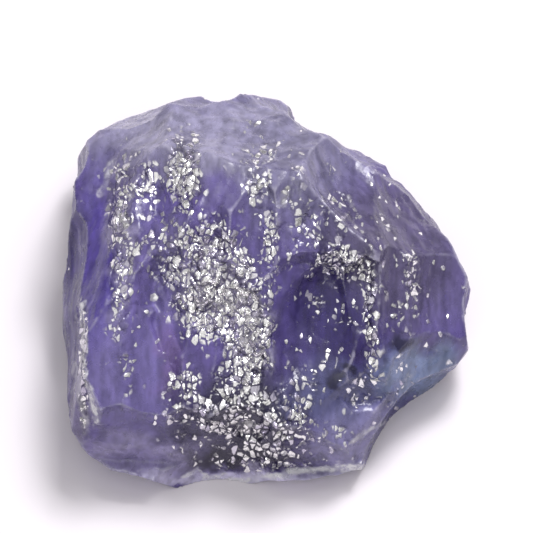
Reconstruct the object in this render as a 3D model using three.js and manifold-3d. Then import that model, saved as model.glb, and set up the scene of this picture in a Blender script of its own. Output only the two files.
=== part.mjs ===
// A rough iolite crystal: one broken lump of a violet-blue gem mineral, 23 mm wide, resting on a flat break.
// Millimetres, +Z up, +X right, +Y back. The lump is a prism of its outline. Flat breaks are cut from it with
// boxes, and then shell-like scars with rippled bowls, so that sharp ridges are left between them.
import * as THREE from "three";
import { mergeVertices } from "three/addons/utils/BufferGeometryUtils.js";
import Module from "manifold-3d";

const wasm = await Module();
wasm.setup();

// Driving dimensions
const LOOK_DOWN = THREE.MathUtils.degToRad(65); // how steeply the outline below looks down on the crystal
const PRISM_LENGTH = 60; // long enough to pass through the whole lump
const CUTTER_SIZE = 60; // a box that takes all beyond a flat break
const BOWL_WALL = 8; // how far a scar's cutter stands up over the break that it is in
const BOWL_REACH = 1.45; // how far the bowl goes on past the scar's own rim, as a share of its half width
const BOWL_FLARE = 1.3; // and how far its open top reaches
const RIPPLE = 0.1; // height of a scar's rings, as a share of its depth
const PULL = 0.6; // how far the rings' centre lies from the scar's middle, as a share of its half length
const FACE_SIZE = 1.15; // about how long a face of a scar is
const SEED = 11;

// The outline, as seen from the front and from LOOK_DOWN above: across, and up the line of sight's own plane.
const OUTLINE = [
  [-10.6, 7.6], [-10, 8.5], [-8.9, 9.3], [-7.5, 9.9], [-4.6, 10.8], [-2.6, 11.1], [-0.9, 11],
  [0.6, 10.7], [1.5, 10.1], [3, 9.2], [4.3, 8.1], [6.3, 7.8], [7.3, 6.3], [8.9, 4.5], [10, 2.7], [10.9, 1],
  [11.4, -0.5], [11.1, -1.6], [11.2, -2.7], [10.4, -3.9], [9.6, -4.9], [8.2, -5.7], [7.1, -6.7],
  [6.2, -7.8], [5.9, -8.8], [5.2, -9.6], [3.7, -9.9], [2, -10.2], [0, -10.2], [-1.6, -10.6],
  [-3.3, -11], [-5, -10.7], [-6.8, -10.1], [-8.6, -9.6], [-10, -8.7], [-10.8, -7.5], [-11.1, -5.4],
  [-11, -3.7], [-11.4, -1.5], [-11.4, 1], [-11.1, 2.4], [-10.8, 4.4],
];

// Flat breaks: a point that each passes through and the way it faces.
const FLAT_BREAKS = [
  { name: "base", at: [0, 0, 0], facing: [0, 0, -1], allowance: 0 },
  { name: "crown", at: [-2.5, 1, 11.2], facing: [-0.12, -0.05, 1] },
  { name: "left inner slope", at: [-5, 0, 10.6], facing: [-0.36, -0.04, 0.93] },
  { name: "left outer slope", at: [-8.2, 0, 9.1], facing: [-0.64, 0.04, 0.77] },
  { name: "left wall", at: [-10.2, -1, 7], facing: [-0.97, -0.05, 0.24] },
  { name: "left undercut", at: [-11.2, 0, 2.6], facing: [-0.86, 0.1, -0.5] },
  { name: "back left slope", at: [-6, 5, 9.7], facing: [-0.4, 0.5, 0.77] },
  { name: "back slope", at: [-1, 4, 10.9], facing: [0.02, 0.5, 0.87] },
  { name: "back right slope", at: [3.4, 4.6, 9.7], facing: [0.42, 0.46, 0.78] },
  { name: "back wall", at: [0, 9.2, 5.4], facing: [0, 0.99, 0.12] },
  { name: "back undercut", at: [0, 9.2, 3.6], facing: [-0.04, 0.82, -0.55] },
  { name: "back left undercut", at: [-8, 8.4, 2.4], facing: [-0.6, 0.6, -0.55] },
  { name: "right upper slope", at: [6, 0, 9.2], facing: [0.56, 0.2, 0.8] },
  { name: "right lower slope", at: [7.2, -4.5, 7.3], facing: [0.55, -0.45, 0.7] },
  { name: "right undercut", at: [11.2, -1, 3], facing: [0.8, -0.05, -0.6] },
  { name: "back right undercut", at: [6.5, 7.3, 2.4], facing: [0.62, 0.5, -0.6] },
  { name: "front slope", at: [-1, -1, 10.75], facing: [0.02, -0.48, 0.88] },
  { name: "front right slope", at: [3.2, -9, 5.8], facing: [0.34, -0.62, 0.71] },
  { name: "front left corner", at: [-9.6, -10.3, 4.6], facing: [-0.62, -0.7, 0.36] },
];

// Ledges: a flat break that stops some way down and leaves a shelf, which faces as given.
const LEDGES = [
  { name: "front", at: [-1, -10.5, 3.6], facing: [-0.02, -0.99, 0.13], shelf: [0.05, -0.3, 1], drop: 2.1 },
  { name: "front right", at: [6, -9, 3.4], facing: [0.62, -0.72, 0.3], shelf: [0.3, -0.3, 1], drop: 1.7 },
];

// Scars on the sides that the outline is seen from: where each is seen, its size across and up the surface,
// its depth, and its turn in degrees.
const SCARS = [
  { name: "left strip", seen: [-10, 2.4], size: [3.6, 15], depth: 0.6, turn: 2 },
  { name: "left wall", seen: [-10.9, -4.4], size: [2.2, 9], depth: 0.5, turn: 0 },
  { name: "left strip's foot", seen: [-10.2, -6.2], size: [3.2, 9], depth: 0.5, turn: -6 },
  { name: "second strip", seen: [-6.2, -3.4], size: [3.8, 15], depth: 0.75, turn: -2 },
  { name: "second strip's head", seen: [-6.2, 4.6], size: [3.6, 8], depth: 0.5, turn: 8 },
  { name: "top left", seen: [-8, 7.8], size: [7, 5.6], depth: 0.65, turn: 30 },
  { name: "milky slope, left", seen: [-4, 8.8], size: [7.6, 6], depth: 0.7, turn: 10 },
  { name: "milky slope, middle", seen: [0.2, 7.6], size: [6.6, 7], depth: 0.65, turn: -10 },
  { name: "milky slope, right", seen: [4, 6], size: [6.4, 7.4], depth: 0.7, turn: -40 },
  { name: "narrow strip", seen: [-3.4, 4], size: [2.8, 7.5], depth: 0.5, turn: 4 },
  { name: "strip by the ridge", seen: [-0.9, 3], size: [2.8, 8], depth: 0.5, turn: -4 },
  { name: "central strip, left", seen: [-4, -1.4], size: [2.8, 9], depth: 0.45, turn: 3 },
  { name: "central strip, right", seen: [-1.9, -2.4], size: [2.8, 9], depth: 0.45, turn: -5 },
  { name: "hollow", seen: [2.7, -2.2], size: [5.8, 9], depth: 1.5, turn: -6 },
  { name: "hollow, head", seen: [2.2, 0.5], size: [4.6, 4], depth: 0.8, turn: 16 },
  { name: "hollow, right", seen: [4.6, -1.2], size: [3.4, 6.6], depth: 1, turn: -10 },
  { name: "hollow, foot", seen: [2.2, -5.6], size: [5.4, 4], depth: 0.7, turn: 30 },
  { name: "slope above the hollow", seen: [2.6, 4.2], size: [4.6, 6.4], depth: 0.5, turn: -14 },
  { name: "right upper", seen: [7.8, 4.4], size: [6.6, 8], depth: 0.8, turn: -35 },
  { name: "right middle", seen: [9.2, 0.6], size: [5.4, 7], depth: 0.75, turn: -10 },
  { name: "strip by the right ridge", seen: [6.9, -0.4], size: [3, 9], depth: 0.6, turn: 0 },
  { name: "green scar", seen: [8.2, -3.8], size: [6.2, 5.4], depth: 0.75, turn: 10 },
  { name: "front right", seen: [4.4, -7], size: [5.6, 4.6], depth: 0.6, turn: 30 },
  { name: "front middle", seen: [0.8, -7.9], size: [5.6, 1.9], depth: 0.4, turn: -4 },
  { name: "front left", seen: [-4, -8], size: [5.6, 2], depth: 0.4, turn: 4 },
  { name: "lower left", seen: [-7.8, -7.8], size: [5.6, 2.2], depth: 0.5, turn: -8 },
];

// Fields of small scars, crowded between these bounds in the same view.
const FIELDS = [
  { name: "central field", from: [-5.2, -3.4], to: [-1.2, 3], count: 20 },
  { name: "lower field", from: [-4.6, -7.6], to: [2, -3.6], count: 24 },
  { name: "left ridge", from: [-8.4, -2], to: [-7.4, 7], count: 9 },
  { name: "upper blob", from: [-5.2, 5], to: [-4, 8], count: 5 },
  { name: "hollow's edge", from: [0, 2.4], to: [5.4, 6], count: 10 },
  { name: "right ridge", from: [5.2, -5.5], to: [5.8, 3], count: 6 },
];
const SMALL_SCAR = { width: [1.3, 2.4], length: [1.8, 4.2], depth: [0.16, 0.36], turn: 30 };

// Wide scars on all other sides, which leave nothing of the flat breaks but the base.
const WIDE_SCARS = 90;
const WIDE_SCAR = { width: [4.2, 6.4], length: [5.5, 8.5], depth: [0.45, 0.85], turn: 60 };
const HEART = [0, -0.5, 4.5]; // they are laid out around this point
const IN_VIEW = 0.6; // a break is on the sides above when it faces the view more than this
const LOWEST_SCAR = 2.2; // the foot of the crystal keeps its outline
const ALLOWANCE = 0.35; // what the scars take off the flat breaks

const SIGHT = new THREE.Vector3(0, Math.cos(LOOK_DOWN), -Math.sin(LOOK_DOWN));
const SIGHT_RIGHT = new THREE.Vector3(1, 0, 0);
const SIGHT_UP = new THREE.Vector3(0, Math.sin(LOOK_DOWN), Math.cos(LOOK_DOWN));

// A number between two, by chance: the series is the same each time, once it has been given its seed
THREE.MathUtils.seededRandom(SEED);
const between = ([low, high]) => THREE.MathUtils.lerp(low, high, THREE.MathUtils.seededRandom());

// The closed geometry as a solid, and a solid as a geometry again
function solidFrom(geometry) {
  const bare = new THREE.BufferGeometry().setAttribute("position", geometry.getAttribute("position"));
  bare.setIndex(geometry.index);
  const merged = mergeVertices(bare, 1e-4);
  return new wasm.Manifold(new wasm.Mesh({
    numProp: 3,
    vertProperties: merged.attributes.position.array,
    triVerts: new Uint32Array(merged.index.array),
  }));
}

function geometryFrom(solid) {
  const mesh = solid.getMesh();
  return new THREE.BufferGeometry()
    .setAttribute("position", new THREE.BufferAttribute(mesh.vertProperties, 3))
    .setIndex(new THREE.BufferAttribute(mesh.triVerts, 1));
}

// The outline drawn out along the line of sight that it was seen from
function outlinePrism() {
  const shape = new THREE.Shape(OUTLINE.map(([across, up]) => new THREE.Vector2(across, up)));
  const prism = new THREE.ExtrudeGeometry(shape, { depth: PRISM_LENGTH, bevelEnabled: false });
  prism.translate(0, 0, -PRISM_LENGTH / 2);
  return prism.applyMatrix4(new THREE.Matrix4().makeBasis(SIGHT_RIGHT, SIGHT_UP, SIGHT.clone().negate()));
}

// A box whose one face lies on a flat break and which takes all beyond it, down to a shelf if there is one
function breakBox({ at, facing, allowance = ALLOWANCE, shelf = [0, 0, 1], drop = CUTTER_SIZE / 2 }) {
  const out = new THREE.Vector3(...facing).normalize();
  const level = Math.abs(out.z) === 1;
  const up = level ? new THREE.Vector3(0, 1, 0) : new THREE.Vector3(...shelf).projectOnPlane(out).normalize();
  const box = new THREE.BoxGeometry(CUTTER_SIZE, CUTTER_SIZE, CUTTER_SIZE);
  box.translate(0, CUTTER_SIZE / 2 - drop, CUTTER_SIZE / 2);
  box.applyMatrix4(new THREE.Matrix4().makeBasis(up.clone().cross(out), up, out));
  return box.translate(...at).translate(...out.multiplyScalar(allowance));
}

// A scar's cutter: a bowl with rings, deepest off its middle, whose wall goes on up out of the surface
function bowl({ size: [width, length], depth }) {
  const rings = Math.max(2, Math.round(Math.max(width, length) / 2 / FACE_SIZE));
  const sides = Math.max(8, Math.round((Math.PI * (width + length)) / 2 / FACE_SIZE));
  const profile = [];
  for (let ring = 0; ring <= rings; ring++) {
    const share = (BOWL_REACH * ring) / rings;
    const ripple = ring > 0 && ring % 2 === 0 ? RIPPLE : 0;
    profile.push(new THREE.Vector2(share, share * share - 1 + ripple));
  }
  const top = BOWL_WALL / depth;
  profile.push(new THREE.Vector2(BOWL_REACH * BOWL_FLARE, top), new THREE.Vector2(0, top));
  const shape = new THREE.LatheGeometry(profile, sides).deleteAttribute("normal").deleteAttribute("uv");
  const { position } = shape.attributes;
  for (let i = 0; i < position.count; i++) {
    const share = Math.min(1, Math.hypot(position.getX(i), position.getZ(i)));
    position.setZ(i, position.getZ(i) + PULL * (1 - share));
  }
  return shape.scale(width / 2, depth, length / 2);
}

// The bowl set into the surface at a point, its length up the view and turned by the scar's own turn
function scarCutter(scar, { point, normal }) {
  const along = SIGHT_UP.clone().projectOnPlane(normal).normalize();
  along.applyAxisAngle(normal, THREE.MathUtils.degToRad(scar.turn));
  const aside = normal.clone().cross(along);
  const placed = new THREE.Matrix4().makeBasis(aside, normal, along).setPosition(point);
  return bowl(scar).applyMatrix4(placed);
}

// Where a ray first meets the lump, and the way that the lump faces there
function hit(lump, from, way) {
  const [{ point, face }] = new THREE.Raycaster(from, way).intersectObject(lump);
  return { point, normal: face.normal };
}

function hitFromSight(lump, [across, up]) {
  const from = SIGHT_RIGHT.clone().multiplyScalar(across).addScaledVector(SIGHT_UP, up);
  return hit(lump, from.addScaledVector(SIGHT, -PRISM_LENGTH), SIGHT);
}

function anyScar({ width, length, depth, turn }) {
  return { size: [between(width), between(length)], depth: between(depth), turn: between([-turn, turn]) };
}

// The wide scars are spread evenly around the heart, by the golden angle.
function wideScars(lump) {
  const heart = new THREE.Vector3(...HEART);
  const goldenAngle = Math.PI * (3 - Math.sqrt(5));
  const cutters = [];
  for (let i = 0; i < WIDE_SCARS; i++) {
    const height = 1 - (2 * (i + 0.5)) / WIDE_SCARS;
    const way = new THREE.Vector3(Math.cos(goldenAngle * i), Math.sin(goldenAngle * i), 0);
    way.multiplyScalar(Math.sqrt(1 - height * height)).setZ(height);
    const place = hit(lump, heart, way);
    const scar = anyScar(WIDE_SCAR);
    const inView = -place.normal.dot(SIGHT) > IN_VIEW;
    if (!inView && place.point.z > LOWEST_SCAR) cutters.push(scarCutter(scar, place));
  }
  return cutters;
}

function fieldScars(lump, { from, to, count }) {
  const cutters = [];
  for (let i = 0; i < count; i++) {
    const seen = [between([from[0], to[0]]), between([from[1], to[1]])];
    cutters.push(scarCutter(anyScar(SMALL_SCAR), hitFromSight(lump, seen)));
  }
  return cutters;
}

function without(solid, cutters) {
  return cutters.reduce((rest, cutter) => rest.subtract(solidFrom(cutter)), solid);
}

// A mesh that rays meet from outside and from inside
function targetOf(solid) {
  return new THREE.Mesh(geometryFrom(solid), new THREE.MeshBasicMaterial({ side: THREE.DoubleSide }));
}

function brokenLump() {
  const flats = [...FLAT_BREAKS, ...LEDGES].map(breakBox);
  const block = without(solidFrom(outlinePrism()), flats);
  const lump = targetOf(block);
  const placed = SCARS.map((scar) => scarCutter(scar, hitFromSight(lump, scar.seen)));
  let solid = without(block, [...wideScars(lump), ...placed]);
  const scarred = targetOf(solid);
  for (const field of FIELDS) solid = without(solid, fieldScars(scarred, field));
  const [largest] = solid.decompose().sort((a, b) => b.volume() - a.volume()); // crumbs fall away
  return geometryFrom(largest);
}

// The origin is under the middle of the crystal's box, on the surface that it rests on.
function standOnOrigin(geometry) {
  geometry.computeBoundingBox();
  const { min, max } = geometry.boundingBox;
  return geometry.translate(-(min.x + max.x) / 2, -(min.y + max.y) / 2, -min.z);
}

const iolite = new THREE.MeshStandardMaterial({ color: 0x6f6693, roughness: 0.25, flatShading: true });
const crystal = new THREE.Mesh(standOnOrigin(brokenLump()), iolite);
crystal.name = "iolite_crystal";

const part = new THREE.Group();
part.add(crystal);

export default part;
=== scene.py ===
# %% [markdown]
# A rough iolite crystal, 22.6 mm wide, dressed for a picture.
# The stone is one broken lump of a violet-blue gem mineral. Its surface is made of shell-like scars with
# sharp ridges between them. Some scars are smooth and milky, and others are hackly: there the break has
# torn into tiny steps that glitter like sugar. The CAD model holds the lump and its scars at real size.
# This script adds what is too fine for it, and then the colours, the light and the camera.

# %% Load the CAD model as a fixed frame
import math
from collections import namedtuple

import bmesh
import bpy
from mathutils import Matrix, Vector


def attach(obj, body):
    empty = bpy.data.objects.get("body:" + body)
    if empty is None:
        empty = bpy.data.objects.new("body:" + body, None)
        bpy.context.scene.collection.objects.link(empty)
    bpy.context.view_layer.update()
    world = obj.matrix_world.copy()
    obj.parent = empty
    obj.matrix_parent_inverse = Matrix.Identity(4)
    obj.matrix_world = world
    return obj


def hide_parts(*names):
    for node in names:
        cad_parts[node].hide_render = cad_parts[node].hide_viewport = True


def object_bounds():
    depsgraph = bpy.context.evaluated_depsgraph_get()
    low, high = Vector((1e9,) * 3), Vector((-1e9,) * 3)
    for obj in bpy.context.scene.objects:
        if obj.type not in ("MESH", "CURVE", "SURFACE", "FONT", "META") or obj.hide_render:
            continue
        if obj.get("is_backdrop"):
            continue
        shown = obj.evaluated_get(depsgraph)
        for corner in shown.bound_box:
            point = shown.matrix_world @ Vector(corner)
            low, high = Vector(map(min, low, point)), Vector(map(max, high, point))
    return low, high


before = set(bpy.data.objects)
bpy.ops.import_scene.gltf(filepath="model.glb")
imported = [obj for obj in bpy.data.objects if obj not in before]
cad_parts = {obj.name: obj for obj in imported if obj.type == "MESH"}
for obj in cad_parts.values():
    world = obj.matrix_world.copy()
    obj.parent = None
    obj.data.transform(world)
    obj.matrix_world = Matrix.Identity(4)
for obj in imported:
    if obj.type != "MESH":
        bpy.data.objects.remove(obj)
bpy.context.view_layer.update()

STONE_NODE = "iolite_crystal"

# %% [markdown]
# Places on the stone are given the way that a person looking at it would point at them: so many millimetres
# to the right of the middle, and so many up the picture. The picture is seen from the front and from 65
# degrees above the horizon, so "up the picture" leans back over the stone.

# %% The line of sight
MM = 0.001
LOOK_DOWN = math.radians(65)
TO_CAMERA = Vector((0, -math.cos(LOOK_DOWN), math.sin(LOOK_DOWN)))
PICTURE_RIGHT = Vector((1, 0, 0))
PICTURE_UP = Vector((0, math.sin(LOOK_DOWN), math.cos(LOOK_DOWN)))
print("the way to the camera:", [round(part, 3) for part in TO_CAMERA])

# %% [markdown]
# The hackly break. On the real stone it runs in bands from back to front, along the ridges, and it thins out
# into single flecks. Noise alone could lay it, but noise knows nothing of the ridges. So each patch below is
# an oval on one of them: its middle and its reach, across and up the picture in millimetres, and how thick
# the glitter lies there. The ovals overlap, and noise frays their edges later.

# %% Where the break is hackly
HACKLY = {
    "left ridge": {"at": (-8.0, 3.6), "reach": (0.6, 4.8), "thick": 0.8},
    "left ridge, head": {"at": (-7.0, 7.3), "reach": (1.8, 1.2), "thick": 0.62},
    "left ridge, tail": {"at": (-7.6, -3.2), "reach": (0.45, 2.8), "thick": 0.3},
    "knot": {"at": (-4.5, 7.8), "reach": (0.85, 2.0), "thick": 1.1},
    "between the ridges": {"at": (-5.6, 3.4), "reach": (1.5, 2.6), "thick": 0.45},
    "band, upper": {"at": (-3.2, 2.7), "reach": (2.2, 2.3), "thick": 1.0},
    "band, middle": {"at": (-2.5, 0.9), "reach": (2.2, 2.3), "thick": 1.3},
    "ridge in the band": {"at": (-1.0, -1.4), "reach": (1.2, 2.6), "thick": 1.4},
    "band, left edge": {"at": (-4.9, 2.5), "reach": (0.6, 1.3), "thick": 0.9},
    "band, foot": {"at": (-1.2, -5.5), "reach": (3.6, 2.5), "thick": 0.58},
    "band, left lobe": {"at": (-4.5, -3.8), "reach": (1.1, 1.5), "thick": 0.6},
    "band, right lobe": {"at": (1.7, -5.2), "reach": (0.9, 1.4), "thick": 0.65},
    "strip by the ridge": {"at": (-0.4, 8.1), "reach": (0.8, 2.8), "thick": 0.42},
    "rim of the hollow, left": {"at": (0.2, 4.2), "reach": (0.55, 1.5), "thick": 0.8},
    "slope above the hollow": {"at": (2.6, 5.2), "reach": (2.7, 2.5), "thick": 0.4},
    "rim of the hollow, top": {"at": (4.1, 3.0), "reach": (1.5, 0.8), "thick": 0.95},
    "rim of the hollow, right": {"at": (5.7, -0.6), "reach": (0.4, 3.8), "thick": 0.75},
    "in the hollow": {"at": (3.4, 0.2), "reach": (2.2, 2.6), "thick": 0.22},
    # a thin spread of flecks on the right, with painted glints
    "dust on the right": {"at": (5.0, 0.5), "reach": (5.5, 8.0), "thick": 0.17},
    "right slope": {"at": (8.0, 1.9), "reach": (0.5, 2.2), "thick": 0.55},
    "green scar": {"at": (6.2, -4.3), "reach": (2.4, 1.4), "thick": 0.3},
    "front right": {"at": (4.0, -6.4), "reach": (2.4, 1.6), "thick": 0.25},
    "over the lip": {"at": (-0.2, -7.9), "reach": (2.8, 0.7), "thick": 0.6},
    "ledge of the left side": {"at": (-10.0, -2.7), "reach": (0.22, 3.2), "thick": 0.6},
}
print(len(HACKLY), "hackly patches")

# %% [markdown]
# Both the fine shape and the colours are made by node trees, and a tree wired line by line is long and hard
# to follow. So a few short helpers come first. `put` adds a node and fills its inputs in order: a socket is
# linked, None leaves an input alone, and anything else is a value. It returns the node's output, so that one
# call can feed the next, as in a formula. Geometry Nodes and shader nodes share their maths nodes, and so
# the same helpers serve both.

# %% Put a node into a tree
def give(tree, socket, value):
    if isinstance(value, bpy.types.NodeSocket):
        tree.links.new(value, socket)
    elif value is not None:
        socket.default_value = value


def put(tree, kind, *inputs, **settings):
    node = tree.nodes.new(kind)
    for name, value in settings.items():
        setattr(node, name, value)
    usable = [socket for socket in node.inputs if socket.enabled]
    for socket, value in zip(usable, inputs):
        give(tree, socket, value)
    return next((socket for socket in node.outputs if socket.enabled), None)


def fill(tree, output, values):
    """Fills the inputs of the output's node by their names, and returns the same output."""
    for name, value in values.items():
        give(tree, output.node.inputs[name], value)
    return output


# %% Maths nodes in one word each
def maths(tree, operation, *values):
    return put(tree, "ShaderNodeMath", *values, operation=operation)


def vectors(tree, operation, *values):
    return put(tree, "ShaderNodeVectorMath", *values, operation=operation)


def scaled(tree, vector, factor):
    return fill(tree, vectors(tree, "SCALE", vector), {"Scale": factor})


def ramp(tree, value, start, end, low=0.0, high=1.0):
    """Goes smoothly from low to high while the value goes from start to end."""
    return put(tree, "ShaderNodeMapRange", value, start, end, low, high, interpolation_type="SMOOTHSTEP")


def blend(tree, share, first, second):
    """The first number where the share is 0, and the second where it is 1."""
    return put(tree, "ShaderNodeMix", share, first, second, data_type="FLOAT")


# %% [markdown]
# Three patterns do most of the work. An oval marks a patch of the picture. Noise frays it and mottles it.
# Cells break a surface up: a Voronoi pattern fills space with cells that have straight sides, as chips of a
# brittle stone do, and it gives each cell random numbers of its own.

# %% Ovals and noise
SOFT = 0.8  # how far an oval fades on both sides of its outline, against its reach


def in_picture(tree, place):
    """Across and up the picture, and towards the camera, for a place in millimetres."""
    ways = (PICTURE_RIGHT, PICTURE_UP, TO_CAMERA)
    return put(tree, "ShaderNodeCombineXYZ", *[vectors(tree, "DOT_PRODUCT", place, way) for way in ways])


def oval(tree, seen, at, reach, soft=SOFT):
    """1 inside an oval patch of the picture and 0 outside, with a soft edge."""
    offset = vectors(tree, "SUBTRACT", seen, (*at, 0))
    share = vectors(tree, "LENGTH", vectors(tree, "MULTIPLY", offset, (1 / reach[0], 1 / reach[1], 0)))
    return ramp(tree, share, 1 + soft, 1 - soft)


def cloud(tree, place, per_mm, detail=2.0):
    """Soft noise around 0.5, with so many waves in a millimetre."""
    return put(tree, "ShaderNodeTexNoise", place, per_mm, detail, noise_dimensions="3D")


def swing(tree, place, per_mm, detail=2.0):
    """The same noise around 0."""
    return maths(tree, "SUBTRACT", cloud(tree, place, per_mm, detail), 0.5)


# %% Cells
Cells = namedtuple("Cells", "bowl tilt chance")
BOWL_LEVEL = 0.3  # takes the bowls down, so that their middles lie below the surface and their rims above it


def cells(tree, place, size):
    """Cells of a size in millimetres, each with a bowl, a slope of its own and three chances from 0 to 1."""
    per_mm = maths(tree, "DIVIDE", 1.0, size)
    cell = put(tree, "ShaderNodeTexVoronoi", place, per_mm, 0.0, feature="F1", voronoi_dimensions="3D").node
    from_middle = scaled(tree, vectors(tree, "SUBTRACT", place, cell.outputs["Position"]), per_mm)
    bowl = maths(tree, "SUBTRACT", vectors(tree, "DOT_PRODUCT", from_middle, from_middle), BOWL_LEVEL)
    lean = vectors(tree, "SUBTRACT", cell.outputs["Color"], (0.5, 0.5, 0.5))
    tilt = vectors(tree, "DOT_PRODUCT", from_middle, lean)
    chance = put(tree, "ShaderNodeSeparateXYZ", cell.outputs["Color"]).node.outputs
    return Cells(bowl, tilt, chance)


# %% [markdown]
# The fine surface starts as a copy of the CAD lump, in millimetres. Its large triangles can't take fine
# relief. Subdividing them would leave long slivers, so a Remesh modifier wraps the lump in a skin of even
# little quads instead, as a sculptor's voxel remesh does. The stone goes back to metres once its shape is
# done.

# %% A fine skin over the lump
SKIN = 0.09  # mm, the width of a quad
MERGE = 0.0005  # mm


def copy_in_mm(node, name):
    source = bpy.data.objects[node]
    mesh = source.data.copy()
    mesh.transform(Matrix.Scale(1 / MM, 4) @ source.matrix_world)
    shape = bmesh.new()
    shape.from_mesh(mesh)
    bmesh.ops.remove_doubles(shape, verts=shape.verts, dist=MERGE)
    shape.to_mesh(mesh)
    shape.free()
    mesh.materials.clear()
    copy = bpy.data.objects.new(name, mesh)
    bpy.context.scene.collection.objects.link(copy)
    return copy


def made_plain(piece):
    """Turns the piece and its modifiers into a plain mesh, and returns its number of triangles."""
    layers = bpy.context.evaluated_depsgraph_get()
    mesh = bpy.data.meshes.new_from_object(piece.evaluated_get(layers))
    piece.modifiers.clear()
    piece.data = mesh
    mesh.calc_loop_triangles()
    return len(mesh.loop_triangles)


stone = copy_in_mm(STONE_NODE, "iolite_stone")
skin = stone.modifiers.new("skin", "REMESH")
skin.mode = "VOXEL"
skin.voxel_size = SKIN
print("triangles in the skin:", made_plain(stone))

# %% [markdown]
# Iolite breaks like glass, in shells, but this lump is full of flaws, so the break also tears into chips.
# They could be sculpted one by one, but there are thousands. A Geometry Nodes tree lays them over the skin
# by rule, and its named inputs hold their sizes. It has nothing to seed: its noise and its cells depend on
# the place alone, and "Shift" takes them to other places in the stone.

# %% Measures of the relief
RELIEF = {
    "Rounding Steps": 60,
    "Chip Size": 1.0,  # mm
    "Chip Depth": 0.2,
    "Fleck Size": 0.35,
    "Fleck Depth": 0.09,
    "Streak Depth": 0.2,
    "Sway Depth": 0.3,
    "Shift": 3.0,
}
print("chips of", RELIEF["Chip Size"], "mm and flecks of", RELIEF["Fleck Size"], "mm")

# %% [markdown]
# How hackly the break is at a place comes from the patches, where the picture shows it. The back is hackly
# too, but there chance decides where, with broad noise.

# %% How hackly the break is
BROAD = 0.17  # waves in a millimetre round the back
SMOOTH, HACKLY_BEHIND = 0.47, 0.58  # where the broad noise goes from one to the other
FRAYED = 1.1  # how strongly noise frays the patches
THIN, THICK, MOST_HACKLY = 0.12, 1.0, 1.2


def thickness_of_break(tree, place, front):
    seen = in_picture(tree, place)
    thick = 0.0
    for patch in HACKLY.values():
        here = maths(tree, "MULTIPLY", oval(tree, seen, patch["at"], patch["reach"]), patch["thick"])
        thick = maths(tree, "MAXIMUM", here, thick)
    behind = ramp(tree, cloud(tree, place, BROAD), SMOOTH, HACKLY_BEHIND)
    thick = blend(tree, front, behind, thick)
    thick = maths(tree, "MULTIPLY_ADD", swing(tree, place, 1.0, 3.0), FRAYED, thick)
    return put(tree, "ShaderNodeMapRange", thick, THIN, THICK, 0.0, MOST_HACKLY)


# %% [markdown]
# The CAD's flat faces leave low creases that a real break doesn't have, and high ones that are its ridges.
# Smoothing everything would melt the ridges. So only places where the skin bends little are free to move,
# and the ridges hold still.

# %% Round off the low creases, and feel the surface
LOW_CREASE, RIDGE = math.radians(3.0), math.radians(7.0)  # how sharply the skin bends, averaged at a point
BEND_STEPS, FACING_STEPS, WORN_STEPS = 2, 8, 14


def averaged(tree, value, steps, share=1.0):
    """A vector evened out over its neighbours, so many times."""
    return put(tree, "GeometryNodeBlurAttribute", value, steps, share, data_type="FLOAT_VECTOR")


def rounded(tree, skin, place, steps):
    bend = put(tree, "GeometryNodeInputMeshEdgeAngle")
    bend = put(tree, "GeometryNodeBlurAttribute", bend, BEND_STEPS, 1.0)
    free = ramp(tree, bend, LOW_CREASE, RIDGE, 1.0, 0.0)
    return put(tree, "GeometryNodeSetPosition", skin, None, averaged(tree, place, steps, free))


def way_out(tree):
    """Where the surface faces, with its small bends evened out."""
    return vectors(tree, "NORMALIZE", averaged(tree, put(tree, "GeometryNodeInputNormal"), FACING_STEPS))


def standing_out(tree, place, out):
    """How far a place stands out from the surface round it, in millimetres."""
    worn = averaged(tree, place, WORN_STEPS)
    return vectors(tree, "DOT_PRODUCT", out, vectors(tree, "SUBTRACT", place, worn))


# %% [markdown]
# Chips and flecks are cells. A chip is pressed in as a small bowl and a fleck stands up as a small hump, and
# both lean by chance, because that leaves flat bright faces and sharp torn rims. The crystal parts more
# easily along its length, so the cells are long up the picture and into it: their places are squeezed
# before the cells are laid, and warped a little, so that no row of them is straight.

# %% Chips and flecks
GRAIN = (1.0, 0.8, 0.5)  # squeezes places across the picture, up it and into it
WARP_WAVES, WARP = 0.8, 0.5  # waves in a millimetre, and how far they move a place, in millimetres
CHIP_LEAN, FLECK_LEAN = 1.3, 1.5


def grain_of_the_stone(tree, place, shift):
    grain = vectors(tree, "MULTIPLY", in_picture(tree, place), GRAIN)
    warp = cloud(tree, place, WARP_WAVES).node.outputs["Color"]
    grain = vectors(tree, "ADD", grain, scaled(tree, warp, WARP))
    return vectors(tree, "ADD", grain, shift)


def torn(tree, grain, given):
    chip = cells(tree, grain, given["Chip Size"])
    pressed = maths(tree, "MULTIPLY_ADD", chip.tilt, CHIP_LEAN, chip.bowl)
    pressed = maths(tree, "MULTIPLY", pressed, given["Chip Depth"])
    fleck = cells(tree, grain, given["Fleck Size"])
    raised = maths(tree, "SUBTRACT", maths(tree, "MULTIPLY", fleck.tilt, FLECK_LEAN), fleck.bowl)
    raised = maths(tree, "MULTIPLY", raised, given["Fleck Depth"])
    return maths(tree, "ADD", pressed, raised)


# %% [markdown]
# Even the smooth scars aren't quite smooth. Long fine streaks run from back to front, as the crystal parts,
# and the whole surface sways softly. Both are noise, and the streaks' noise is stretched up the picture.

# %% Streaks and sway
STREAK = (1.3, 0.16, 1.3)  # waves in a millimetre across the picture, up it and into it
SWAY = 0.4  # waves in a millimetre


def streaks_and_sway(tree, place, given):
    stretched = vectors(tree, "MULTIPLY", in_picture(tree, place), STREAK)
    streak = maths(tree, "MULTIPLY", swing(tree, stretched, 1.0, 3.0), given["Streak Depth"])
    sway = maths(tree, "MULTIPLY", swing(tree, place, SWAY), given["Sway Depth"])
    return maths(tree, "ADD", streak, sway)


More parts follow.
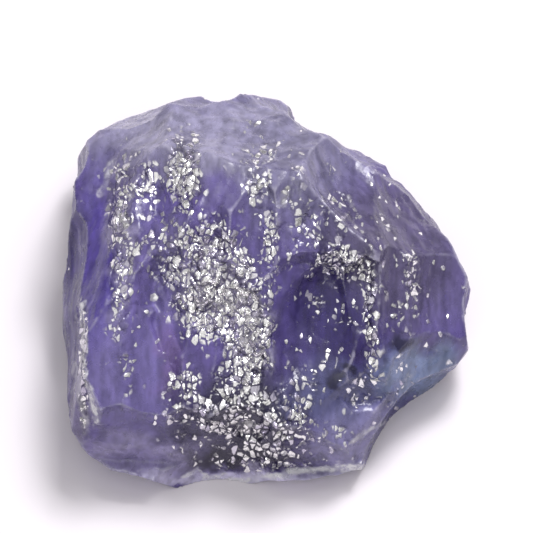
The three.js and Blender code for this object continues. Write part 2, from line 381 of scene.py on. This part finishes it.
# %% [markdown]
# The tree puts these together. What it works out on the way is of use to the colours too, so it stores it
# at each point of the skin, under a name: how far the point is on the front, how hackly the break is, how
# far it stands out, and where it lies in the grain. The relief fades towards the base, and nothing goes
# under the table, so that the stone rests as the CAD lump does.

# %% The relief, as a tree with named inputs
BACK, FRONT = -0.35, -0.1  # from -1, facing away from the camera, to 1, facing it
FOOT = 0.9  # mm above the table, where the relief has its full height


def store(tree, skin, name, value, kind="FLOAT"):
    """Stores a value at each point, and returns the skin and the value that is read back."""
    skin = put(tree, "GeometryNodeStoreNamedAttribute", skin, None, name, value, data_type=kind,
               domain="POINT")
    return skin, put(tree, "GeometryNodeInputNamedAttribute", name, data_type=kind)


def new_relief_tree():
    tree = bpy.data.node_groups.new("breaks of the stone", "GeometryNodeTree")
    tree.interface.new_socket("Geometry", in_out="INPUT", socket_type="NodeSocketGeometry")
    for name, value in RELIEF.items():
        kind = "NodeSocketInt" if isinstance(value, int) else "NodeSocketFloat"
        tree.interface.new_socket(name, in_out="INPUT", socket_type=kind).default_value = value
    tree.interface.new_socket("Geometry", in_out="OUTPUT", socket_type="NodeSocketGeometry")
    return tree


def relief_tree(finish):
    tree = new_relief_tree()
    given = tree.nodes.new("NodeGroupInput").outputs
    place = put(tree, "GeometryNodeInputPosition")
    skin = rounded(tree, given["Geometry"], place, given["Rounding Steps"])

    out = way_out(tree)
    front = ramp(tree, vectors(tree, "DOT_PRODUCT", out, TO_CAMERA), BACK, FRONT)
    skin, _ = store(tree, skin, "front", front)
    skin, hackly = store(tree, skin, "hackly", thickness_of_break(tree, place, front))
    skin, _ = store(tree, skin, "bruise_and_sheen", standing_out(tree, place, out))
    grain = grain_of_the_stone(tree, place, given["Shift"])
    skin, grain = store(tree, skin, "grain", grain, "FLOAT_VECTOR")

    height = maths(tree, "MULTIPLY", torn(tree, grain, given), hackly)
    height = maths(tree, "ADD", height, streaks_and_sway(tree, place, given))
    level = put(tree, "ShaderNodeSeparateXYZ", place).node.outputs["Z"]
    height = maths(tree, "MULTIPLY", height, ramp(tree, level, 0.0, FOOT))
    skin = put(tree, "GeometryNodeSetPosition", skin, None, None, scaled(tree, out, height))
    over_table = vectors(tree, "MAXIMUM", place, (-100, -100, 0))
    skin = put(tree, "GeometryNodeSetPosition", skin, None, over_table)

    skin = put(tree, "GeometryNodeRealizeInstances", skin)
    skin = put(tree, "GeometryNodeSetMaterial", skin, None, finish)
    put(tree, "NodeGroupOutput", skin)
    return tree


# %% Lay the relief over the skin
def lay_over(piece, tree):
    breaks = piece.modifiers.new("breaks", "NODES")
    breaks.node_group = tree
    for socket in tree.interface.items_tree:
        if socket.in_out == "INPUT" and socket.name in RELIEF:
            breaks[socket.identifier] = RELIEF[socket.name]


iolite = bpy.data.materials.new("iolite")
lay_over(stone, relief_tree(iolite))
triangles = made_plain(stone)
print("triangles with relief:", triangles)

# %% [markdown]
# The skin has the same tiny quads on a smooth scar as on a torn one. A coarser skin would lose the flecks,
# so a Decimate modifier takes triangles away where the surface is nearly flat: the stone gets light, and
# its ridges stay sharp. Edges that bend by more than about a third of a right angle are then marked sharp,
# so that each fleck shines by itself.

# %% Thin out, sharpen and go back to metres
MOST_TRIANGLES = 180_000
SHARP = math.radians(32)

thinner = stone.modifiers.new("thinner", "DECIMATE")
thinner.ratio = min(1.0, MOST_TRIANGLES / triangles)
print("triangles kept:", made_plain(stone))
stone.data.transform(Matrix.Scale(MM, 4))
stone.data.shade_smooth()
stone.data.set_sharp_from_angle(angle=SHARP)
stone.data.update()

# %% [markdown]
# The finish is painted in layers, from the inside out: the tones of the stone, some of them with painted
# shade or light, the veils in it, its rubbed places with a painted sheen, painted highlights on a few edges,
# and painted glints on top. Colours are linear, from 0 to 1.

# %% Colours of the iolite
LAVENDER, VIOLET = (0.128, 0.098, 0.300), (0.112, 0.080, 0.275)  # the ground
MILKY, DEEP = (0.30, 0.275, 0.44), (0.050, 0.035, 0.13)  # by chance round the back
BRUISE_AND_SHEEN = (0.50, 0.47, 0.62)  # paler where the surface stands out: rubbed wear and a painted sheen
EDGE_HIGHLIGHT = (0.97, 0.95, 1.0)  # a painted highlight on a few edges
TORN_SHADE = (0.085, 0.070, 0.130)  # painted shade between the bright facets
GLINT, DULL_GLINT = (0.97, 0.95, 0.95), (0.50, 0.46, 0.58)  # painted glints on the facets, bright and dull


def mixed(tree, share, first, second):
    """The first colour where the share is 0, and the second where it is 1."""
    first, second = ((*colour, 1) if isinstance(colour, tuple) else colour for colour in (first, second))
    return put(tree, "ShaderNodeMix", share, first, second, data_type="RGBA")


def stored(tree, name, output="Fac"):
    """What the relief left at each point under this name."""
    return put(tree, "ShaderNodeAttribute", attribute_name=name).node.outputs[output]


# %% [markdown]
# The tones. Where flaws lie thick the stone is milky, and where it is clear and deep it goes dark. Iolite
# also changes with the way that light takes through it, from violet-blue to pale blue and to a yellowish
# grey, and so a scar may look grey or greenish. Some tones also carry painted light and shade: painted shade
# darkens the left wall, the far edge, the steep front face and the face over the lip, the slope above the
# hollow and the pits, and adds to the dark of the hollow and the right side; painted light brightens the lip,
# the lower left and the front right; and the milky top is partly a painted reflection. One noise could mix
# all of these, but then none would keep to its own scar. So on the front they are ovals over a lavender
# ground, as the hackly patches are, and `share` says how much of the ground each one covers.

# %% Where the tones lie
TONES = {
    # painted shade: the steep left wall is darkened
    "left wall": {"at": (-10.9, 2.0), "reach": (0.7, 5.2), "colour": (0.05, 0.034, 0.17), "share": 0.85},
    "left strip": {"at": (-9.3, 2.6), "reach": (0.9, 4.4), "colour": (0.08, 0.054, 0.285), "share": 0.8},
    "lower strip": {"at": (-8.4, -3.4), "reach": (1.2, 3.0), "colour": (0.19, 0.155, 0.38), "share": 0.7},
    "wall foot": {"at": (-10.2, -5.9), "reach": (0.6, 1.6), "colour": (0.27, 0.24, 0.34), "share": 0.6},
    # partly milky flaws and partly a painted reflection of the bright tent behind
    "milky top": {"at": (-3.2, 10.1), "reach": (7.6, 2.6), "colour": (0.325, 0.305, 0.435), "share": 0.85},
    # painted shade along the far edge, where the top turns away
    "far edge": {"at": (-4.5, 12.0), "reach": (4.5, 0.5), "colour": (0.19, 0.17, 0.32), "share": 0.7},
    "shoulder": {"at": (1.7, 8.0), "reach": (3.4, 3.4), "colour": (0.195, 0.18, 0.295), "share": 0.75},
    "between ridges": {"at": (-5.3, 2.4), "reach": (1.2, 2.2), "colour": (0.26, 0.23, 0.42), "share": 0.6},
    "second strip": {"at": (-6.2, -1.5), "reach": (1.8, 5.2), "colour": (0.17, 0.135, 0.36), "share": 0.7},
    "mauve strip": {"at": (-5.3, -2.6), "reach": (0.8, 2.2), "colour": (0.16, 0.095, 0.28), "share": 0.6},
    "left ridge": {"at": (-8.0, 3.2), "reach": (0.7, 3.4), "colour": (0.40, 0.36, 0.52), "share": 0.5},
    "band": {"at": (-2.6, 1.7), "reach": (1.8, 1.9), "colour": (0.42, 0.38, 0.50), "share": 0.55},
    "band ridge": {"at": (-0.9, -1.6), "reach": (1.0, 1.9), "colour": (0.50, 0.47, 0.56), "share": 0.4},
    # painted shade on the steep front face below the band
    "foot": {"at": (-1.4, -5.6), "reach": (3.6, 2.4), "colour": (0.022, 0.018, 0.05), "share": 0.93},
    # painted shade on the slope above the hollow
    "dark slope": {"at": (4.8, 4.8), "reach": (1.9, 2.2), "colour": (0.085, 0.07, 0.15), "share": 0.75},
    # the hollow: partly the deep violet of thick stone, partly painted shade
    "hollow": {"at": (3.4, -0.7), "reach": (3.0, 3.6), "colour": (0.026, 0.016, 0.105), "share": 0.92},
    "under the hollow": {"at": (4.1, -4.6), "reach": (3.0, 1.8), "colour": (0.12, 0.13, 0.27), "share": 0.7},
    # the right side: partly its own grey violet, partly painted shade
    "right side": {"at": (7.7, 3.6), "reach": (3.2, 4.2), "colour": (0.107, 0.089, 0.17), "share": 0.85},
    "green scar": {"at": (8.4, -3.2), "reach": (2.2, 1.6), "colour": (0.21, 0.265, 0.43), "share": 0.85},
    # painted shade in two small pits
    "pit": {"at": (7.4, -1.5), "reach": (0.6, 0.5), "colour": (0.015, 0.013, 0.045), "share": 0.95},
    "second pit": {"at": (4.3, -3.2), "reach": (0.7, 0.35), "colour": (0.02, 0.018, 0.05), "share": 0.9},
    # painted light: the thin edge at the front right is lighter
    "front right": {"at": (5.2, -7.4), "reach": (2.8, 2.0), "colour": (0.258, 0.235, 0.43), "share": 0.8},
    # painted light on the lower left
    "lower left": {"at": (-6.9, -8.0), "reach": (3.6, 1.3), "colour": (0.365, 0.32, 0.545), "share": 0.8},
    # painted shade on the steep face over the lip
    "over the lip": {"at": (-1.2, -7.8), "reach": (3.4, 0.55), "colour": (0.02, 0.015, 0.04), "share": 0.9},
    # painted light on the lip
    "lip": {"at": (-0.5, -9.1), "reach": (6.4, 0.5), "colour": (0.70, 0.65, 0.90), "share": 0.9},
}
print(len(TONES), "tones on the front")

# %% Tones over the ground
WANDER = 3.0  # mm, how far a tone's edge may stray
TONE_SOFT = 0.55
ELSEWHERE = (40, 0, 0)  # mm, so that the dark clouds don't lie where the milky ones do


def strayed(tree, seen, noise, far):
    """Places of the picture, moved across and up by noise, so that what is laid there looks grown."""
    return vectors(tree, "ADD", seen, scaled(tree, (far, far, 0.0), noise))


def ground(tree, place):
    """Lavender that drifts into violet."""
    return mixed(tree, ramp(tree, cloud(tree, place, 0.3, 3.0), 0.4, 0.62), LAVENDER, VIOLET)


def tones_behind(tree, place, colour):
    """Milky and dark clouds, for the sides that the picture doesn't show."""
    milky = ramp(tree, cloud(tree, place, 0.13), 0.5, 0.6, 0.0, 0.7)
    deep = ramp(tree, cloud(tree, vectors(tree, "ADD", place, ELSEWHERE), 0.16), 0.5, 0.6, 0.0, 0.8)
    return mixed(tree, deep, mixed(tree, milky, colour, MILKY), DEEP)


def tones_in_front(tree, seen, fray, colour):
    wander = strayed(tree, seen, fray, WANDER)
    for tone in TONES.values():
        here = oval(tree, wander, tone["at"], tone["reach"], TONE_SOFT)
        colour = mixed(tree, maths(tree, "MULTIPLY", here, tone["share"]), colour, tone["colour"])
    return colour


# %% [markdown]
# Veils are sheets of tiny cracks and bubbles inside the stone. Modelled one by one they would cost far more
# than they show, so two noises stand in for them: long ones up the picture and small mottles, which
# together dim or brighten the tones.

# %% Veils and mottles
VEIL, MOTTLE = (1.6, 0.3, 1.6), (3.2, 1.6, 3.2)  # waves in a millimetre across the picture, up it and into it
VEIL_DIM, VEIL_BRIGHT = 0.35, 0.85
MOTTLE_DIM, MOTTLE_BRIGHT = 0.36, 0.64


def veiled(tree, seen, colour):
    veil = cloud(tree, vectors(tree, "MULTIPLY", seen, VEIL), 1.0, 5.0)
    mottle = cloud(tree, vectors(tree, "MULTIPLY", seen, MOTTLE), 1.0, 3.0)
    strength = ramp(tree, veil, 0.3, 0.72, VEIL_DIM, VEIL_BRIGHT)
    strength = maths(tree, "ADD", strength, ramp(tree, mottle, 0.3, 0.7, MOTTLE_DIM, MOTTLE_BRIGHT))
    return scaled(tree, colour, strength)


# %% [markdown]
# A loose stone gets rubbed. What stands out is made paler, partly as rubbed wear and partly as a painted
# highlight on the ridges and thin edges. This could be painted place by place too, but the relief has stored
# how far each point stands out, so it follows that by itself. A few edges also get a white painted highlight.
# They are few and each is in a place of its own, so they are lines through a few points of the picture, in
# millimetres, with noise to break them.

# %% Rubbed places, with painted sheen
MOST_BRUISE_AND_SHEEN = 0.7
STANDS_OUT, STANDS_FAR_OUT = 0.02, 0.07  # mm


def rubbed_and_sheen(tree, place, colour):
    stands_out = ramp(tree, stored(tree, "bruise_and_sheen"), STANDS_OUT, STANDS_FAR_OUT)
    here_and_there = ramp(tree, cloud(tree, place, 1.3, 4.0), 0.35, 0.6)
    share = maths(tree, "MULTIPLY", stands_out, here_and_there)
    return mixed(tree, maths(tree, "MULTIPLY", share, MOST_BRUISE_AND_SHEEN), colour, BRUISE_AND_SHEEN)


# %% Where the edges get painted highlights
EDGES = {
    "lip": {"through": [(-3.8, -9.3), (-1.6, -9.2), (0.2, -8.9), (1.3, -8.65), (4.1, -8.45), (5.2, -8.4)],
            "width": 0.14, "white": 1.0},
    "left of the lip": {"through": [(-4.5, -8.9), (-3.8, -8.5), (-3.1, -8.95), (-2.2, -8.8)],
                        "width": 0.10, "white": 0.75},
    "top left": {"through": [(-8.5, 8.3), (-8.95, 6.9)], "width": 0.15, "white": 0.5},
    "ledge": {"through": [(-10.15, 0.5), (-10.1, -1.2), (-9.85, -3.5), (-9.3, -5.8)],
              "width": 0.11, "white": 1.0},
    "foot of the ledge": {"through": [(-10.5, -2.8), (-10.2, -4.6), (-9.8, -6.2)],
                          "width": 0.16, "white": 0.4},
    "lower right": {"through": [(4.8, -6.9), (5.5, -6.4), (6.4, -6.0)], "width": 0.09, "white": 0.6},
}
print(len(EDGES), "chipped edges")

# %% Painted highlights on edges
SHAKE = 0.7  # mm, how far noise moves the lines
LINE_FADES, LINE_FULL = 2.2, 0.3  # widths from the middle of a line


def along(tree, seen, through, width):
    """1 on a line through the given points of the picture and 0 off it, with soft sides."""
    nearest = 100.0
    for start, end in zip(through, through[1:]):
        way = Vector((*end, 0)) - Vector((*start, 0))
        offset = vectors(tree, "MULTIPLY", vectors(tree, "SUBTRACT", seen, (*start, 0)), (1, 1, 0))
        share = vectors(tree, "DOT_PRODUCT", offset, way / way.length_squared)
        share = put(tree, "ShaderNodeClamp", share, 0.0, 1.0)
        distance = vectors(tree, "LENGTH", vectors(tree, "SUBTRACT", offset, scaled(tree, way, share)))
        nearest = maths(tree, "MINIMUM", distance, nearest)
    return ramp(tree, nearest, LINE_FADES * width, LINE_FULL * width)


def highlit(tree, place, seen, fray, front, colour):
    shaken = strayed(tree, seen, maths(tree, "ADD", fray, swing(tree, place, 1.8)), SHAKE)
    white = 0.0
    for edge in EDGES.values():
        here = maths(tree, "MULTIPLY", along(tree, shaken, edge["through"], edge["width"]), edge["white"])
        white = maths(tree, "MAXIMUM", here, white)
    broken = ramp(tree, cloud(tree, place, 2.2, 4.0), 0.38, 0.55, 0.3, 1.0)
    white = maths(tree, "MULTIPLY", maths(tree, "MULTIPLY", white, front), broken)
    return mixed(tree, white, colour, EDGE_HIGHLIGHT)


# %% [markdown]
# The glitter. A torn face is a tiny mirror, and it flashes only if it tilts the right way. Left to the lamps
# and the relief alone, few would flash at this size of picture. So chance picks the cells that do, of three
# sizes: many flecks, fewer crumbs and a few chips, and paints them near-white as painted glints, while their
# partly metallic finish also mirrors the lamps and the tent. They are more where the break is more hackly,
# and noise gathers them in clusters. A bright fleck or crumb has a dark rim of painted shade. A few crumbs on
# the smooth breaks also get painted glints, as scattered specks.

# %% How much glitters
CRUMB = 0.21  # mm
FLECKS_LIT, CRUMBS_LIT, CHIPS_LIT = 1.0, 0.6, 0.22  # shares of the cells, where the break is most hackly
CHIP_SHINE = 0.6  # against a fleck's
# Where single crumbs get painted glints, as scattered specks, and how many.
GLINT_SPECKS = {
    "right half": {"at": (4.2, 1.2), "reach": (4.6, 7.0), "share": 0.045},
    "milky shoulder": {"at": (1.2, 7.2), "reach": (2.4, 3.0), "share": 0.03},
    "strips on the left": {"at": (-6.4, 0.5), "reach": (1.4, 6.5), "share": 0.03},
}
FEWEST_GLINT_SPECKS = 0.004
GLINT_SPECK_SOFT = 0.5
print("dust on", len(GLINT_SPECKS), "places")

# %% Lucky cells and their facets
FACET_STARTS, FACET_FULL = 0.05, 0.19  # against the cell's size, from its rim
RIM_FADES, RIM_FULL = 0.19, 0.03
LUCK_FADES = 0.14  # a cell that is only just lucky glitters less


def lucky(tree, lit, share, chance):
    """1 for the cells that glitter: the more lit the place is, the more of them."""
    return ramp(tree, maths(tree, "SUBTRACT", maths(tree, "MULTIPLY", lit, share), chance), 0.0, LUCK_FADES)


def facets(tree, grain, size, lucky_cells):
    """The painted bright facet inside each lucky cell, and the rim of painted shade round it."""
    to_rim = put(tree, "ShaderNodeTexVoronoi", grain, 1 / size, feature="DISTANCE_TO_EDGE",
                 voronoi_dimensions="3D")
    facet = maths(tree, "MULTIPLY", lucky_cells, ramp(tree, to_rim, FACET_STARTS, FACET_FULL))
    rim_shade = maths(tree, "MULTIPLY", lucky_cells, ramp(tree, to_rim, RIM_FADES, RIM_FULL))
    return facet, rim_shade


def glint_specks(tree, seen, chance):
    """1 for the lucky few crumbs scattered on the smooth breaks, which get painted glints."""
    share = FEWEST_GLINT_SPECKS
    for patch in GLINT_SPECKS.values():
        here = oval(tree, seen, patch["at"], patch["reach"], GLINT_SPECK_SOFT)
        share = maths(tree, "MAXIMUM", maths(tree, "MULTIPLY", here, patch["share"]), share)
    return maths(tree, "LESS_THAN", chance, share)


# %% Painted glints and painted shade over the tones
RIM_SHARE = 0.5
GAP_DIM, GAP_SHARE = 0.6, 0.42  # a gap is painted shade: the stone's own tone, dimmed and mixed with the painted shade colour


def glitter(tree, place, grain, hackly, flecks, crumbs, speck_crumbs):
    """How bright the painted glint is at a place, and how much of a rim of painted shade it is."""
    lit = maths(tree, "MULTIPLY", hackly, ramp(tree, cloud(tree, place, 1.1), 0.38, 0.6, 0.7, 1.3))
    lucky_flecks = lucky(tree, lit, FLECKS_LIT, flecks.chance["X"])
    bright_flecks, fleck_shade = facets(tree, grain, RELIEF["Fleck Size"], lucky_flecks)
    lucky_crumbs = maths(tree, "MAXIMUM", speck_crumbs, lucky(tree, lit, CRUMBS_LIT, crumbs.chance["X"]))
    bright_crumbs, crumb_shade = facets(tree, grain, CRUMB, lucky_crumbs)
    lucky_chips = lucky(tree, lit, CHIPS_LIT, cells(tree, grain, RELIEF["Chip Size"]).chance["X"])
    bright_chips, _ = facets(tree, grain, RELIEF["Chip Size"], lucky_chips)
    glint = maths(tree, "MAXIMUM", bright_flecks, bright_crumbs)
    glint = maths(tree, "MAXIMUM", glint, maths(tree, "MULTIPLY", bright_chips, CHIP_SHINE))
    shaded_rims = maths(tree, "MULTIPLY", maths(tree, "MAXIMUM", fleck_shade, crumb_shade), RIM_SHARE)
    return glint, shaded_rims


def glints_and_shade(tree, hackly, flecks, glint, shaded_rims, colour):
    """Painted shade in the gaps and rims, and painted glints on the facets in them, some bright and some
    dull.
    """
    # Painted shade: the gaps between facets and the rims round bright ones go dark.
    shaded_gap = maths(tree, "MULTIPLY", hackly, ramp(tree, flecks.chance["Y"], 0.2, 0.9, 0.85, 0.1))
    dark = mixed(tree, GAP_SHARE, scaled(tree, colour, GAP_DIM), TORN_SHADE)
    colour = mixed(tree, shaded_gap, colour, dark)
    colour = mixed(tree, shaded_rims, colour, dark)
    shine = mixed(tree, ramp(tree, flecks.chance["Z"], 0.0, 0.5), DULL_GLINT, GLINT)
    return mixed(tree, glint, colour, shine)


# %% [markdown]
# Gloss and touch. One even gloss would look like plastic. The real smooth scars are glossy in patches and a
# little frosted in others, and torn faces are glossier still. Detail finer than the mesh is a bump: crumbs
# and flecks again, in the same cells as the facets, and a fine unevenness everywhere.

# %% Roughness and bump
GLOSSY, FROSTED, TORN_GLOSS = 0.22, 0.42, 0.13
CRUMB_BUMP, FLECK_BUMP, SKIN_BUMP = 0.05, 0.08, 0.03  # mm


def roughness(tree, place, hackly):
    smooth = ramp(tree, cloud(tree, place, 1.2, 4.0), 0.35, 0.7, GLOSSY, FROSTED)
    return blend(tree, hackly, smooth, TORN_GLOSS)


def fine_bump(tree, place, hackly, flecks, crumbs, speck_crumbs):
    here = maths(tree, "MULTIPLY", maths(tree, "MAXIMUM", hackly, speck_crumbs), CRUMB_BUMP)
    height = maths(tree, "MULTIPLY", maths(tree, "SUBTRACT", crumbs.tilt, crumbs.bowl), here)
    here = maths(tree, "MULTIPLY", hackly, FLECK_BUMP)
    raised = maths(tree, "MULTIPLY", maths(tree, "SUBTRACT", flecks.tilt, flecks.bowl), here)
    height = maths(tree, "ADD", height, raised)
    height = maths(tree, "ADD", height, maths(tree, "MULTIPLY", cloud(tree, place, 2.5, 5.0), SKIN_BUMP))
    return fill(tree, put(tree, "ShaderNodeBump"), {"Distance": MM, "Strength": 1.0, "Height": height})


# %% [markdown]
# Last the glass. Iolite is see-through, but this piece is so full of flaws that most light turns back
# inside it. Clear glass would need every crack modelled to look like this. So a share of the light passes,
# with the refraction of iolite, and the rest turns back with the colours painted above. The volume takes
# the red and the green out of the light that passes: thick parts go indigo, and thin edges stay pale. A
# facet is made partly metallic, because a torn face turns all the light back, as a mirror does.

# %% The glass
IOLITE_IOR = 1.545
SPECULAR = 0.36
SEE_THROUGH = 0.35
FACET_METAL = 0.8
INDIGO = (0.42, 0.36, 0.80, 1)
INDIGO_DENSITY = 420.0  # per metre


def glass_of(tree, colour, rough, glint, bump):
    glass = fill(tree, put(tree, "ShaderNodeBsdfPrincipled"), {
        "Base Color": colour,
        "Roughness": rough,
        "Metallic": maths(tree, "MULTIPLY", glint, FACET_METAL),
        "IOR": IOLITE_IOR,
        "Specular IOR Level": SPECULAR,
        "Transmission Weight": SEE_THROUGH,
        "Normal": bump,
    })
    depth = fill(tree, put(tree, "ShaderNodeVolumeAbsorption"), {
        "Color": INDIGO,
        "Density": INDIGO_DENSITY,
    })
    put(tree, "ShaderNodeOutputMaterial", glass, depth)


# %% [markdown]
# Now the layers come together in one node tree. Each reads the stone's own object coordinates, in
# millimetres, or what the relief stored at its points, and never where the camera stands. So the finish
# stays on the stone from every side.

# %% Paint the stone
def paint_iolite(finish):
    finish.use_nodes = True
    tree = finish.node_tree
    tree.nodes.clear()
    place = scaled(tree, put(tree, "ShaderNodeTexCoord").node.outputs["Object"], 1 / MM)
    seen = in_picture(tree, place)
    front, hackly = stored(tree, "front"), stored(tree, "hackly")
    fray = swing(tree, place, 0.6, 4.0)

    colour = ground(tree, place)
    behind = tones_behind(tree, place, colour)
    colour = mixed(tree, front, behind, tones_in_front(tree, seen, fray, colour))
    colour = rubbed_and_sheen(tree, place, veiled(tree, seen, colour))
    colour = highlit(tree, place, seen, fray, front, colour)

    grain = stored(tree, "grain", "Vector")
    flecks, crumbs = cells(tree, grain, RELIEF["Fleck Size"]), cells(tree, grain, CRUMB)
    speck_crumbs = glint_specks(tree, seen, crumbs.chance["Y"])
    glint, shaded_rims = glitter(tree, place, grain, hackly, flecks, crumbs, speck_crumbs)
    colour = glints_and_shade(tree, hackly, flecks, glint, shaded_rims, colour)
    bump = fine_bump(tree, place, hackly, flecks, crumbs, speck_crumbs)
    glass_of(tree, colour, roughness(tree, place, hackly), glint, bump)
    return len(tree.nodes)


print("iolite painted with", paint_iolite(iolite), "nodes")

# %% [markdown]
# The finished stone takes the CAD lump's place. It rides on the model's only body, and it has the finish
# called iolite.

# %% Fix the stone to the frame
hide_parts(STONE_NODE)
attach(stone, "root")

# %% [markdown]
# A plain table, on which the stone lies as on white paper in a shop's light tent. A white table would throw
# so much light back that the shadow of such a small stone would be washed out. So the table is a mid
# mauve-grey, the lamps drive it to white, and its shadow stays dense and a little mauve.

# %% Table
TABLE = 1.2  # m
CLEARANCE = 0.00002  # m under the stone, so that its base and the table don't lie in one plane
PAPER, PAPER_ROUGHNESS = (0.73, 0.69, 0.73, 1), 0.9


def paper():
    finish = bpy.data.materials.new("paper")
    finish.use_nodes = True
    shader = finish.node_tree.nodes["Principled BSDF"]
    shader.inputs["Base Color"].default_value = PAPER
    shader.inputs["Roughness"].default_value = PAPER_ROUGHNESS
    return finish


def table():
    shape = bmesh.new()
    bmesh.ops.create_grid(shape, x_segments=1, y_segments=1, size=TABLE)
    mesh = bpy.data.meshes.new("table")
    shape.to_mesh(mesh)
    shape.free()
    mesh.transform(Matrix.Translation((0, 0, -CLEARANCE)))
    mesh.materials.append(paper())
    top = bpy.data.objects.new("table", mesh)
    bpy.context.scene.collection.objects.link(top)
    top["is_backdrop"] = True


table()
print("table", round(2 * TABLE, 1), "m wide")

# %% [markdown]
# Three lamps of some width, because a stone's soft shadow and its many small flashes both need them: a torn
# face that tilts the right way mirrors one of them. The key lamp stands high at the back and a little to
# the right, so the shadow falls to the front left. A second one, further to the right, lightens its edge,
# and a weak low one in front lights the front of the stone.

# %% Lamps
LAMPS = {
    "key": {"azimuth": 28, "height": 60, "far": 0.30, "size": 0.08, "power": 0.74},
    "right": {"azimuth": 50, "height": 62, "far": 0.30, "size": 0.10, "power": 0.19},
    "fill": {"azimuth": -160, "height": 28, "far": 0.35, "size": 0.14, "power": 0.22},
}


def lamp(name, azimuth, height, far, size, power):
    """A square lamp that looks at the stone. Azimuth 0 is behind it, and 90 is to its right."""
    light = bpy.data.lights.new(name, "AREA")
    light.energy = power
    light.size = size
    turn, rise = math.radians(azimuth), math.radians(height)
    way = Vector((math.sin(turn) * math.cos(rise), math.cos(turn) * math.cos(rise), math.sin(rise)))
    thing = bpy.data.objects.new(name, light)
    thing.location = way * far
    thing.rotation_mode = "QUATERNION"
    thing.rotation_quaternion = way.to_track_quat("Z", "Y")
    bpy.context.scene.collection.objects.link(thing)


for name, values in LAMPS.items():
    lamp(name, **values)
print(len(LAMPS), "lamps")

# %% [markdown]
# The world is the tent round the table. It is dim at its foot and bright overhead: the glossy scars mirror
# it, so the ones that face up look pale, and the steep ones keep their violet.

# %% Light tent
TENT_FOOT, TENT_TOP = 0.1, 0.95  # heights, from 0 at the horizon to 1 overhead
TENT_WALL, TENT_ROOF = 0.11, 0.81  # how bright the tent is there


def light_tent():
    world = bpy.data.worlds.new("light tent")
    world.use_nodes = True
    tree = world.node_tree
    way = put(tree, "ShaderNodeTexCoord").node.outputs["Generated"]
    height = put(tree, "ShaderNodeSeparateXYZ", way).node.outputs["Z"]
    fill(tree, tree.nodes["Background"].outputs[0], {
        "Color": (1, 1, 1, 1),
        "Strength": ramp(tree, height, TENT_FOOT, TENT_TOP, TENT_WALL, TENT_ROOF),
    })
    return world


bpy.context.scene.world = light_tent()
bpy.context.scene.view_settings.view_transform = "Standard"
print("tent brightness from", TENT_WALL, "to", TENT_ROOF)

# %% [markdown]
# The camera looks down at 65 degrees from 60 cm away, with a long lens, so that the stone fills about three
# quarters of the picture's width and has little perspective.

# %% Camera
FAR = 0.6  # m
SHARE = 0.77  # of the picture's width
low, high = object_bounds()
camera = bpy.data.objects.new("camera", bpy.data.cameras.new("camera"))
camera.data.lens = camera.data.sensor_width * FAR * SHARE / (high.x - low.x)
camera.location = (low + high) / 2 + TO_CAMERA * FAR
camera.rotation_mode = "QUATERNION"
camera.rotation_quaternion = TO_CAMERA.to_track_quat("Z", "Y")
bpy.context.scene.collection.objects.link(camera)
bpy.context.scene.camera = camera
print("lens in mm:", round(camera.data.lens))

# %% [markdown]
# Last, the box of what is shown is printed.

# %% Size of what is shown
low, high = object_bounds()
print("shown box in mm:", [round(1000 * side, 2) for side in high - low])
